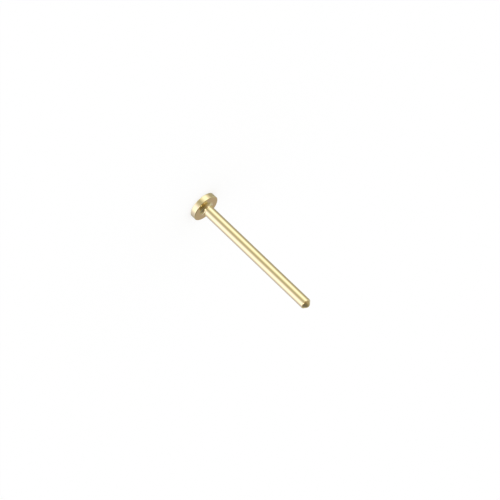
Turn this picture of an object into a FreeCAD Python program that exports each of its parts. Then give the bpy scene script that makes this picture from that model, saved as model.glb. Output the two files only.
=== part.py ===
# Nail head pin: one turned brass pin, plated, with a flat disc head and a long round shaft.
# Millimetres. It stands on its head: the head's flat face is at z = 0, the shaft points up
# along +Z, and the origin is the centre of the head's flat face.
import FreeCAD
import Part

import math
import os

# Driving dimensions
HEAD_DIAMETER = 2.03
HEAD_THICKNESS = 0.43
HEAD_EDGE_RADIUS = 0.05
SHAFT_DIAMETER = 0.76
SHAFT_LENGTH = 9.91
ROOT_FILLET_RADIUS = 0.23
NOSE_HALF_ANGLE = 48.0
NOSE_SHOULDER_RADIUS = 0.12
NOSE_END_RADIUS = 0.28


def point(radius, height):
    """A point of the turned profile, which lies in the XZ plane."""
    return FreeCAD.Vector(radius, 0, height)


def on_circle(centre, radius, degrees):
    angle = math.radians(degrees)
    return centre + point(radius * math.cos(angle), radius * math.sin(angle))


def arc(centre, radius, start_degrees, end_degrees):
    """A rounded stretch of the profile, from one direction about its centre to another."""
    middle_degrees = (start_degrees + end_degrees) / 2
    return Part.Arc(on_circle(centre, radius, start_degrees),
                    on_circle(centre, radius, middle_degrees),
                    on_circle(centre, radius, end_degrees)).toShape()


def line(start, end):
    return Part.LineSegment(start, end).toShape()


def head_profile():
    """From the axis out along the flat face, up the rim and in to the shaft's root fillet."""
    head_radius = HEAD_DIAMETER / 2
    edge = HEAD_EDGE_RADIUS
    root_outer = SHAFT_DIAMETER / 2 + ROOT_FILLET_RADIUS
    root_centre = point(root_outer, HEAD_THICKNESS + ROOT_FILLET_RADIUS)
    return [
        line(point(0, 0), point(head_radius - edge, 0)),
        arc(point(head_radius - edge, edge), edge, -90, 0),
        line(point(head_radius, edge), point(head_radius, HEAD_THICKNESS - edge)),
        arc(point(head_radius - edge, HEAD_THICKNESS - edge), edge, 0, 90),
        line(point(head_radius - edge, HEAD_THICKNESS), point(root_outer, HEAD_THICKNESS)),
        arc(root_centre, ROOT_FILLET_RADIUS, -90, -180),
    ]


def shaft_profile():
    """From the root fillet up the shaft, round the shoulder, along the cone and over the end.

    The cone touches both rounded stretches, so each centre follows from the line that lies at
    the right distance from it, measured square to the cone.
    """
    shaft_radius = SHAFT_DIAMETER / 2
    tip = HEAD_THICKNESS + SHAFT_LENGTH
    out, up = math.cos(math.radians(NOSE_HALF_ANGLE)), math.sin(math.radians(NOSE_HALF_ANGLE))
    end_centre = point(0, tip - NOSE_END_RADIUS)
    cone_distance = up * end_centre.z + NOSE_END_RADIUS
    shoulder_inset = shaft_radius - NOSE_SHOULDER_RADIUS
    straight_end = (cone_distance - NOSE_SHOULDER_RADIUS - out * shoulder_inset) / up
    shoulder_centre = point(shoulder_inset, straight_end)
    root_top = HEAD_THICKNESS + ROOT_FILLET_RADIUS
    return [
        line(point(shaft_radius, root_top), point(shaft_radius, straight_end)),
        arc(shoulder_centre, NOSE_SHOULDER_RADIUS, 0, NOSE_HALF_ANGLE),
        line(on_circle(shoulder_centre, NOSE_SHOULDER_RADIUS, NOSE_HALF_ANGLE),
             on_circle(end_centre, NOSE_END_RADIUS, NOSE_HALF_ANGLE)),
        arc(end_centre, NOSE_END_RADIUS, NOSE_HALF_ANGLE, 90),
    ]


def headed_pin():
    """One body of revolution: the head, the shaft and the nose are turned in one profile."""
    axis = line(point(0, HEAD_THICKNESS + SHAFT_LENGTH), point(0, 0))
    profile = Part.Wire(head_profile() + shaft_profile() + [axis])
    return Part.Face(profile).revolve(FreeCAD.Vector(0, 0, 0), FreeCAD.Vector(0, 0, 1), 360)


os.makedirs("parts", exist_ok=True)
pin = headed_pin()
pin.exportStep("parts/headed_pin.step")
print("solids", len(pin.Solids), "volume", round(pin.Volume, 4), "valid", pin.isValid())
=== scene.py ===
import math

import bpy
from mathutils import Matrix, Vector


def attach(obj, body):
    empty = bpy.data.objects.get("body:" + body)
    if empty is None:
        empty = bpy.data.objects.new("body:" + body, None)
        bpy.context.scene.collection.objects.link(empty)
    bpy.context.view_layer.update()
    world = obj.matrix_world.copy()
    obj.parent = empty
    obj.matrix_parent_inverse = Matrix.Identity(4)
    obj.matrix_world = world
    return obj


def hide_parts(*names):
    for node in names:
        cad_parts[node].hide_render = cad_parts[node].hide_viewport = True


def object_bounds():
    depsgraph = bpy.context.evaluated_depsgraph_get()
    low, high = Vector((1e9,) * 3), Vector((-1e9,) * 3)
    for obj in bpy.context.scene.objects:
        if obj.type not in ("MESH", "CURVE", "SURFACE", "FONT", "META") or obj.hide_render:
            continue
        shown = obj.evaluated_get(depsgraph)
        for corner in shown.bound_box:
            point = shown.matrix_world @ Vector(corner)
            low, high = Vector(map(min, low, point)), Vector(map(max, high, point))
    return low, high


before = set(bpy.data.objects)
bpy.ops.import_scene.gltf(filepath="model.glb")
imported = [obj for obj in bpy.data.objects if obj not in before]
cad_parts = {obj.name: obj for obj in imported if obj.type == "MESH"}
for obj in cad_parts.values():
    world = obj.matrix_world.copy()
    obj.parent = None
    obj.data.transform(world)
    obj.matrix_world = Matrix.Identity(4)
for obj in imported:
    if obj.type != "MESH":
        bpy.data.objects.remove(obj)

cad_low, cad_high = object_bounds()


# The pin
# One turned brass pin: a flat disc head, a plain round shaft, and a nose coned down to a round end.
# It is plated all over with bright gold. It stands on the head's flat face, shaft upwards.
MM = 0.001
PIN_SIDES = 192
HEAD_RADIUS = (cad_high.x - cad_low.x) / 2
HEAD_THICKNESS = 0.43 * MM
HEAD_EDGE_RADIUS = 0.05 * MM
SHAFT_RADIUS = 0.38 * MM
ROOT_FILLET_RADIUS = 0.23 * MM
NOSE_HALF_ANGLE = math.radians(48)
NOSE_SHOULDER_RADIUS = 0.12 * MM
NOSE_END_RADIUS = 0.28 * MM
NOSE_END_RINGS = 8
PIN_TOP = cad_high.z
ROUNDING_SEGMENTS = 12
SMOOTH_ANGLE = math.radians(30)
# Two places count as the same within NEAR, and a face as flat when its normal is this upright.
NEAR = 0.002 * MM
UPRIGHT = 0.999


def deselect_all():
    """Nothing stays selected, so an operator acts on the new piece alone."""
    bpy.ops.object.select_all(action="DESELECT")


def select_faces(low, high, flat=False):
    """In edit mode: selects only the flat faces, or else the walls, that lie between two heights."""
    bpy.ops.mesh.select_all(action="DESELECT")
    bpy.ops.object.mode_set(mode="OBJECT")
    mesh = bpy.context.object.data
    for face in mesh.polygons:
        heights = [mesh.vertices[index].co.z for index in face.vertices]
        inside = min(heights) > low - NEAR and max(heights) < high + NEAR
        face.select = inside and (abs(face.normal.z) > UPRIGHT) == flat
    bpy.ops.object.mode_set(mode="EDIT")


def select_ring(height, radius):
    """In edit mode: selects only the ring of edges at this height and this far from the axis."""
    bpy.ops.mesh.select_all(action="DESELECT")
    bpy.ops.object.mode_set(mode="OBJECT")
    mesh = bpy.context.object.data
    for edge in mesh.edges:
        ends = [mesh.vertices[index].co for index in edge.vertices]
        edge.select = all(abs(end.z - height) < NEAR and abs(end.xy.length - radius) < NEAR
                          for end in ends)
    bpy.ops.object.mode_set(mode="EDIT")


deselect_all()
bpy.ops.mesh.primitive_cylinder_add(
    vertices=PIN_SIDES, radius=HEAD_RADIUS, depth=HEAD_THICKNESS, location=(0, 0, HEAD_THICKNESS / 2))
pin = bpy.context.object
pin.name = "plated_pin"
bpy.ops.object.transform_apply(location=True, rotation=True, scale=True)

# The shaft grows out of the head's inner face, inset to the shaft's radius. It is drawn up ring
# by ring: to the nose's shoulder, along the cone, and over the round end to the tip.
end_centre = PIN_TOP - NOSE_END_RADIUS
cone_distance = end_centre * math.sin(NOSE_HALF_ANGLE) + NOSE_END_RADIUS
shoulder = (cone_distance - SHAFT_RADIUS * math.cos(NOSE_HALF_ANGLE)) / math.sin(NOSE_HALF_ANGLE)
rings = [(HEAD_THICKNESS, SHAFT_RADIUS), (shoulder, SHAFT_RADIUS)]
for index in range(NOSE_END_RINGS):
    lift = NOSE_HALF_ANGLE + (math.pi / 2 - NOSE_HALF_ANGLE) * index / NOSE_END_RINGS
    rings.append((end_centre + NOSE_END_RADIUS * math.sin(lift), NOSE_END_RADIUS * math.cos(lift)))
cone_end = rings[2][0]
bpy.ops.object.mode_set(mode="EDIT")
bpy.context.tool_settings.mesh_select_mode = (False, False, True)
select_faces(HEAD_THICKNESS, HEAD_THICKNESS, flat=True)
bpy.ops.mesh.inset(thickness=HEAD_RADIUS - SHAFT_RADIUS, depth=0)
for (low, wide), (high, narrow) in zip(rings, rings[1:]):
    bpy.ops.mesh.extrude_region_move(TRANSFORM_OT_translate={"value": (0, 0, high - low)})
    bpy.ops.transform.resize(value=(narrow / wide, narrow / wide, 1), center_override=(0, 0, high))
bpy.ops.mesh.extrude_region_move(TRANSFORM_OT_translate={"value": (0, 0, PIN_TOP - rings[-1][0])})
bpy.ops.mesh.merge(type="CENTER")

# The turned edges are rounded: the head's two rims, the fillet at the shaft's root, and the
# nose's shoulder, where a bevel's width is its radius times the tangent of half the turn.
shoulder_width = NOSE_SHOULDER_RADIUS * math.tan(NOSE_HALF_ANGLE / 2)
bpy.context.tool_settings.mesh_select_mode = (False, True, False)
for height, radius, width in (
        (0, HEAD_RADIUS, HEAD_EDGE_RADIUS),
        (HEAD_THICKNESS, HEAD_RADIUS, HEAD_EDGE_RADIUS),
        (HEAD_THICKNESS, SHAFT_RADIUS, ROOT_FILLET_RADIUS),
        (shoulder, SHAFT_RADIUS, shoulder_width)):
    select_ring(height, radius)
    bpy.ops.mesh.bevel(offset=width, segments=ROUNDING_SEGMENTS, affect="EDGES")

# A narrow border inside each flat, wall and cone keeps them true right up to the rounded edges,
# because smooth shading otherwise bends the light over the whole face.
BORDER = 0.008 * MM
bpy.context.tool_settings.mesh_select_mode = (False, False, True)
for low, high, flat in (
        (0, 0, True),
        (HEAD_EDGE_RADIUS, HEAD_THICKNESS - HEAD_EDGE_RADIUS, False),
        (HEAD_THICKNESS, HEAD_THICKNESS, True),
        (HEAD_THICKNESS + ROOT_FILLET_RADIUS, shoulder - shoulder_width, False),
        (shoulder + shoulder_width * math.cos(NOSE_HALF_ANGLE), cone_end, False)):
    select_faces(low, high, flat)
    bpy.ops.mesh.inset(thickness=BORDER, depth=0)
bpy.ops.object.mode_set(mode="OBJECT")
bpy.ops.object.shade_smooth_by_angle(angle=SMOOTH_ANGLE)


def linear(hex_colour):
    """An sRGB hex colour as the linear colour that the shaders take."""
    channels = [int(hex_colour[start:start + 2], 16) / 255 for start in (1, 3, 5)]
    return [value / 12.92 if value <= 0.04045 else ((value + 0.055) / 1.055) ** 2.4
            for value in channels] + [1.0]


def add_node(tree, kind, settings=None, inputs=None, links=None):
    """Adds one node with its settings, its fixed inputs and its links from other nodes' outputs."""
    node = tree.nodes.new(kind)
    for name, value in (settings or {}).items():
        setattr(node, name, value)
    for socket, value in (inputs or {}).items():
        node.inputs[socket].default_value = value
    for socket, output in (links or {}).items():
        tree.links.new(output, node.inputs[socket])
    return node


# Bright gold plating, barrel-plated over turned brass. It mirrors its surroundings almost clearly.
# The thin plating follows the fine rings that the turning tool left, and the barrel's tumbling
# leaves a faint mottle in its gloss and a slight change from paler to deeper gold. The rings are
# drawn somewhat coarser than such a lathe leaves them, so that they show from close by.
PALE_GOLD, DEEP_GOLD = "#FBE8B0", "#F6E2A4"
GOLD_PATCH_MM = 1.6
MOTTLE_MM = 0.12
TOOL_RING_PITCH_MM = 0.05
TOOL_RING_HEIGHT = 0.0004 * MM
MOTTLE_HEIGHT = 0.0004 * MM
LEAST_ROUGH, MOST_ROUGH = 0.07, 0.13
# Nearly all of a noise's values lie between these two.
NOISE_LOW, NOISE_HIGH = 0.3, 0.7
PER_MM = 1 / MM
gold_plating = bpy.data.materials.new("bright_gold_plating")
gold_plating.use_nodes = True
tree = gold_plating.node_tree
plating = tree.nodes["Principled BSDF"]
plating.inputs["Metallic"].default_value = 1.0
place = add_node(tree, "ShaderNodeTexCoord")
in_mm = add_node(tree, "ShaderNodeMapping", inputs={"Scale": (PER_MM, PER_MM, PER_MM)},
                 links={"Vector": place.outputs["Object"]})
height_mm = add_node(tree, "ShaderNodeSeparateXYZ", links={0: in_mm.outputs[0]})
across = add_node(tree, "ShaderNodeMapping", inputs={"Scale": (PER_MM, PER_MM, 0)},
                  links={"Vector": place.outputs["Object"]})
radius_mm = add_node(tree, "ShaderNodeVectorMath", {"operation": "LENGTH"},
                     links={0: across.outputs[0]})
# The tool's path along the profile: upwards on the walls, inwards on the flats and the cone.
tool_path = add_node(tree, "ShaderNodeMath", {"operation": "SUBTRACT"},
                     links={0: height_mm.outputs["Z"], 1: radius_mm.outputs["Value"]})
tool_rings = add_node(tree, "ShaderNodeTexNoise", {"noise_dimensions": "1D"},
                      {"Scale": 1 / TOOL_RING_PITCH_MM, "Detail": 1.0}, {"W": tool_path.outputs[0]})
patches = add_node(tree, "ShaderNodeTexNoise", inputs={"Scale": 1 / GOLD_PATCH_MM, "Detail": 2.0},
                   links={"Vector": in_mm.outputs[0]})
mottle = add_node(tree, "ShaderNodeTexNoise", inputs={"Scale": 1 / MOTTLE_MM, "Detail": 2.0},
                  links={"Vector": in_mm.outputs[0]})
gold = add_node(tree, "ShaderNodeMix", {"data_type": "RGBA"},
                {6: linear(PALE_GOLD), 7: linear(DEEP_GOLD)}, {0: patches.outputs[0]})
gloss = add_node(tree, "ShaderNodeMapRange",
                 inputs={"From Min": NOISE_LOW, "From Max": NOISE_HIGH,
                         "To Min": LEAST_ROUGH, "To Max": MOST_ROUGH},
                 links={"Value": mottle.outputs[0]})
ring_relief = add_node(tree, "ShaderNodeBump", inputs={"Distance": TOOL_RING_HEIGHT},
                       links={"Height": tool_rings.outputs[0]})
relief = add_node(tree, "ShaderNodeBump", inputs={"Distance": MOTTLE_HEIGHT},
                  links={"Height": mottle.outputs[0], "Normal": ring_relief.outputs[0]})
tree.links.new(gold.outputs[2], plating.inputs["Base Color"])
tree.links.new(gloss.outputs[0], plating.inputs["Roughness"])
tree.links.new(relief.outputs[0], plating.inputs["Normal"])
pin.data.materials.append(gold_plating)

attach(pin, "root")
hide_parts("headed_pin")


# The floor
# A plain pale table top, which only the camera and the shadow see. It lies a hair below the head's
# flat face, because two faces in the same place would show through each other from below.
FLOOR_SIZE = 4.0
FLOOR_GAP = 0.002 * MM
# The share of its whiteness that shows shadows, and the share that glows evenly.
SHADED_SHARE, GLOWING_SHARE = 0.35, 0.65
WHITE = (1, 1, 1, 1)
deselect_all()
bpy.ops.mesh.primitive_plane_add(size=FLOOR_SIZE, location=(0, 0, -FLOOR_GAP))
floor = bpy.context.object
floor.name = "table_top"
paper = bpy.data.materials.new("white_paper")
paper.use_nodes = True
tree = paper.node_tree
diffuse = tree.nodes["Principled BSDF"]
diffuse.inputs["Base Color"].default_value = (SHADED_SHARE, SHADED_SHARE, SHADED_SHARE, 1)
diffuse.inputs["Roughness"].default_value = 1.0
diffuse.inputs["Specular IOR Level"].default_value = 0.0
glow = add_node(tree, "ShaderNodeEmission", inputs={"Color": WHITE, "Strength": GLOWING_SHARE})
mixed = add_node(tree, "ShaderNodeAddShader", links={0: diffuse.outputs[0], 1: glow.outputs[0]})
tree.links.new(mixed.outputs[0], tree.nodes["Material Output"].inputs["Surface"])
floor.data.materials.append(paper)
floor.visible_glossy = False


# The light
# A light tent: a white panel on either side of the camera, a narrow one behind the pin, dimmer
# walls between them, and a shaded top. Polished metal mirrors the panels as bright bands along the
# shaft. Everything else, such as the table top, gets the same even white light from all sides.
TENT_BRIGHTNESS = 1.8
# Azimuths in degrees, 0 towards the camera and growing to its right, with the light's colour.
LOW_WALL = (
    (-180, "#E0E0F0"), (-172, "#E0E0F0"), (-160, "#808080"), (-100, "#888888"), (-80, "#B8B8C0"),
    (-65, "#D8E0F0"), (-45, "#D8E0F0"), (-25, "#B8B8B8"), (-10, "#909090"), (5, "#909090"),
    (20, "#A8A8B0"), (40, "#D8D8FF"), (70, "#E0E8FF"), (100, "#B0B0D0"), (160, "#808080"),
    (172, "#E0E0F0"), (180, "#E0E0F0"))
HIGH_WALL = (
    (-180, "#888080"), (-120, "#A0A8B0"), (-85, "#9898A0"), (-60, "#C8C8D0"), (-48, "#C8C8D0"),
    (-36, "#908070"), (8, "#807868"), (18, "#FFFFFF"), (34, "#FFFFFF"), (46, "#787070"),
    (80, "#686058"), (135, "#888880"), (180, "#888080"))
TOP = (
    (-180, "#787870"), (-80, "#888078"), (-10, "#706048"), (25, "#585048"), (110, "#585860"),
    (180, "#787870"))
TOP_MIDDLE = "#606058"
# Heights where one part of the tent turns into the next: 0 is level with the pin, 1 straight above.
WALL_STEP = (-0.08, 0.08)
TOP_EDGE = (0.45, 0.62)
MIDDLE_EDGE = (0.88, 1.0)

world = bpy.data.worlds.new("light_tent")
bpy.context.scene.world = world
world.use_nodes = True
world.cycles.sampling_method = "NONE"
tree = world.node_tree
even_light = tree.nodes["Background"]
even_light.inputs["Color"].default_value = WHITE
even_light.inputs["Strength"].default_value = 1.0
direction = add_node(tree, "ShaderNodeTexCoord")
parts = add_node(tree, "ShaderNodeSeparateXYZ", links={0: direction.outputs["Generated"]})
towards_camera = add_node(tree, "ShaderNodeMath", {"operation": "MULTIPLY"}, {1: -1.0},
                          {0: parts.outputs["Y"]})
azimuth = add_node(tree, "ShaderNodeMath", {"operation": "ARCTAN2"},
                   links={0: parts.outputs["X"], 1: towards_camera.outputs[0]})
around = add_node(tree, "ShaderNodeMath", {"operation": "MULTIPLY_ADD"},
                  {1: 1 / math.tau, 2: 0.5}, {0: azimuth.outputs[0]})


def add_ramp(colours):
    """A colour ramp once round the tent, from pairs of azimuth and colour."""
    node = add_node(tree, "ShaderNodeValToRGB", links={0: around.outputs[0]})
    stops = node.color_ramp.elements
    stops.remove(stops[-1])
    for index, (degrees, colour) in enumerate(colours):
        place = degrees / 360 + 0.5
        stop = stops[0] if index == 0 else stops.new(place)
        stop.position = place
        stop.color = linear(colour)
    return node


def blend_upwards(low_colour, high_colour, heights):
    """Turns from one colour to another between two heights."""
    share = add_node(tree, "ShaderNodeMapRange", {"interpolation_type": "SMOOTHSTEP"},
                     {"From Min": heights[0], "From Max": heights[1]}, {"Value": parts.outputs["Z"]})
    return add_node(tree, "ShaderNodeMix", {"data_type": "RGBA"},
                    links={0: share.outputs[0], 6: low_colour, 7: high_colour}).outputs[2]


walls = blend_upwards(add_ramp(LOW_WALL).outputs[0], add_ramp(HIGH_WALL).outputs[0], WALL_STEP)
tent = blend_upwards(walls, add_ramp(TOP).outputs[0], TOP_EDGE)
# Straight above, all the azimuths meet, so the middle of the top is one plain shade.
middle = add_node(tree, "ShaderNodeRGB")
middle.outputs[0].default_value = linear(TOP_MIDDLE)
tent = blend_upwards(tent, middle.outputs[0], MIDDLE_EDGE)
tent_light = add_node(tree, "ShaderNodeBackground", inputs={"Strength": TENT_BRIGHTNESS},
                      links={"Color": tent})
ray = add_node(tree, "ShaderNodeLightPath")
both = add_node(tree, "ShaderNodeMixShader",
                links={0: ray.outputs["Is Glossy Ray"], 1: even_light.outputs[0],
                       2: tent_light.outputs[0]})
tree.links.new(both.outputs[0], tree.nodes["World Output"].inputs["Surface"])


# The camera
# It looks down on the pin's nose from the side, rolled so that the pin lies slantwise.
PHOTO_SIDE = 500
CAMERA_ELEVATION = math.radians(21.5)
SLANT_BELOW_HORIZONTAL = math.radians(43.69)
PIXELS_PER_METRE = 15250
CAMERA_DISTANCE = 0.30
SENSOR_WIDTH_MM = 36
NEAREST_SEEN, FARTHEST_SEEN = 0.01, 20
# Where the middle of the head's inner face lies in the photo, in pixels from its top left corner.
UNDERSIDE_CENTRE_X, UNDERSIDE_CENTRE_Y = 206.30, 208.71

view_width = PHOTO_SIDE / PIXELS_PER_METRE
camera_data = bpy.data.cameras.new("camera")
camera_data.lens = SENSOR_WIDTH_MM * CAMERA_DISTANCE / view_width
camera_data.sensor_width = SENSOR_WIDTH_MM
camera = bpy.data.objects.new("camera", camera_data)
bpy.context.scene.collection.objects.link(camera)
bpy.context.scene.camera = camera
back = Vector((0, -math.cos(CAMERA_ELEVATION), math.sin(CAMERA_ELEVATION)))
roll = math.radians(90) + SLANT_BELOW_HORIZONTAL
turned = (-back).to_track_quat("-Z", "Y").to_matrix() @ Matrix.Rotation(roll, 3, "Z")
right, up = turned @ Vector((1, 0, 0)), turned @ Vector((0, 1, 0))
off_right = (UNDERSIDE_CENTRE_X - PHOTO_SIDE / 2) / PIXELS_PER_METRE
off_up = (PHOTO_SIDE / 2 - UNDERSIDE_CENTRE_Y) / PIXELS_PER_METRE
aim = Vector((0, 0, HEAD_THICKNESS)) - right * off_right - up * off_up
camera.location = aim + back * CAMERA_DISTANCE
camera.rotation_mode = "QUATERNION"
camera.rotation_quaternion = turned.to_quaternion()
camera_data.clip_start = NEAREST_SEEN
camera_data.clip_end = FARTHEST_SEEN

bpy.context.scene.view_settings.view_transform = "Standard"
